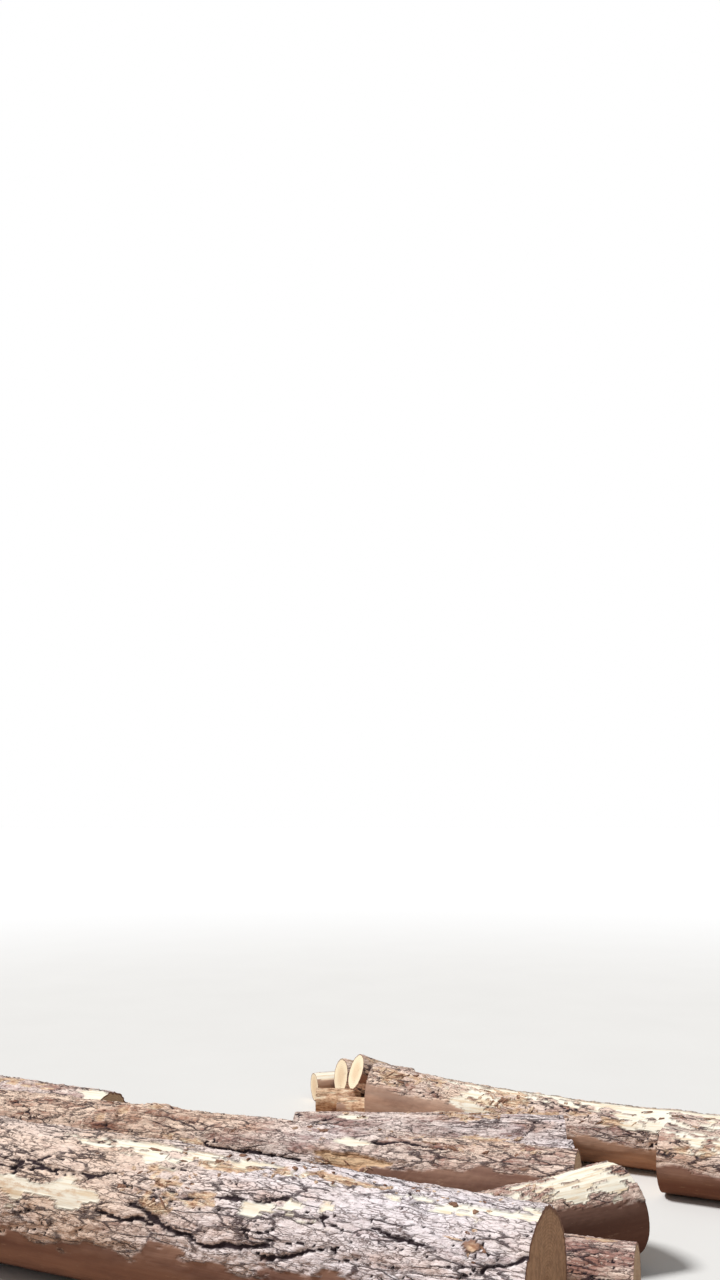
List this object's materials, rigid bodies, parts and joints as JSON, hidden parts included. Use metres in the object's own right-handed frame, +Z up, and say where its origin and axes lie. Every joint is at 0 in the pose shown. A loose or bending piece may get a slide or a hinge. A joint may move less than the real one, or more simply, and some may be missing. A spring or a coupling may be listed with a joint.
{
  "type": "stack of logs",
  "caption": "Loose heap of felled pine logs on level ground: long logs with rough plated bark, part-peeled logs, and short sawn billets with pale cut ends.",
  "frame": {"origin": "on the ground, below the middle of the heap's box", "axes": "+Z up; +X along the heap, to the right as seen from its front; +Y from the front log to the back logs"},
  "size_m": [6.9176, 3.4027, 0.4818],
  "materials": {
    "bark_grey": "rough grey-lilac plated bark",
    "bark_brown": "rough pinkish-brown bark",
    "peeled_wood": "part-peeled cream wood with bark flecks"
  },
  "bodies": {
    "root": {"back_log": "bark_brown", "butt_piece": "peeled_wood", "front_billet": "bark_brown", "front_log": "bark_grey", "grey_bolt": "bark_grey", "grey_offcut": "bark_grey", "knotty_log": "bark_brown", "left_stub": "bark_brown", "middle_billet": "bark_brown", "peeled_log": "peeled_wood", "right_log": "peeled_wood", "right_stub": "bark_brown", "sawn_block": "bark_brown", "thin_billet": "bark_brown"}
  },
  "joints": []
}
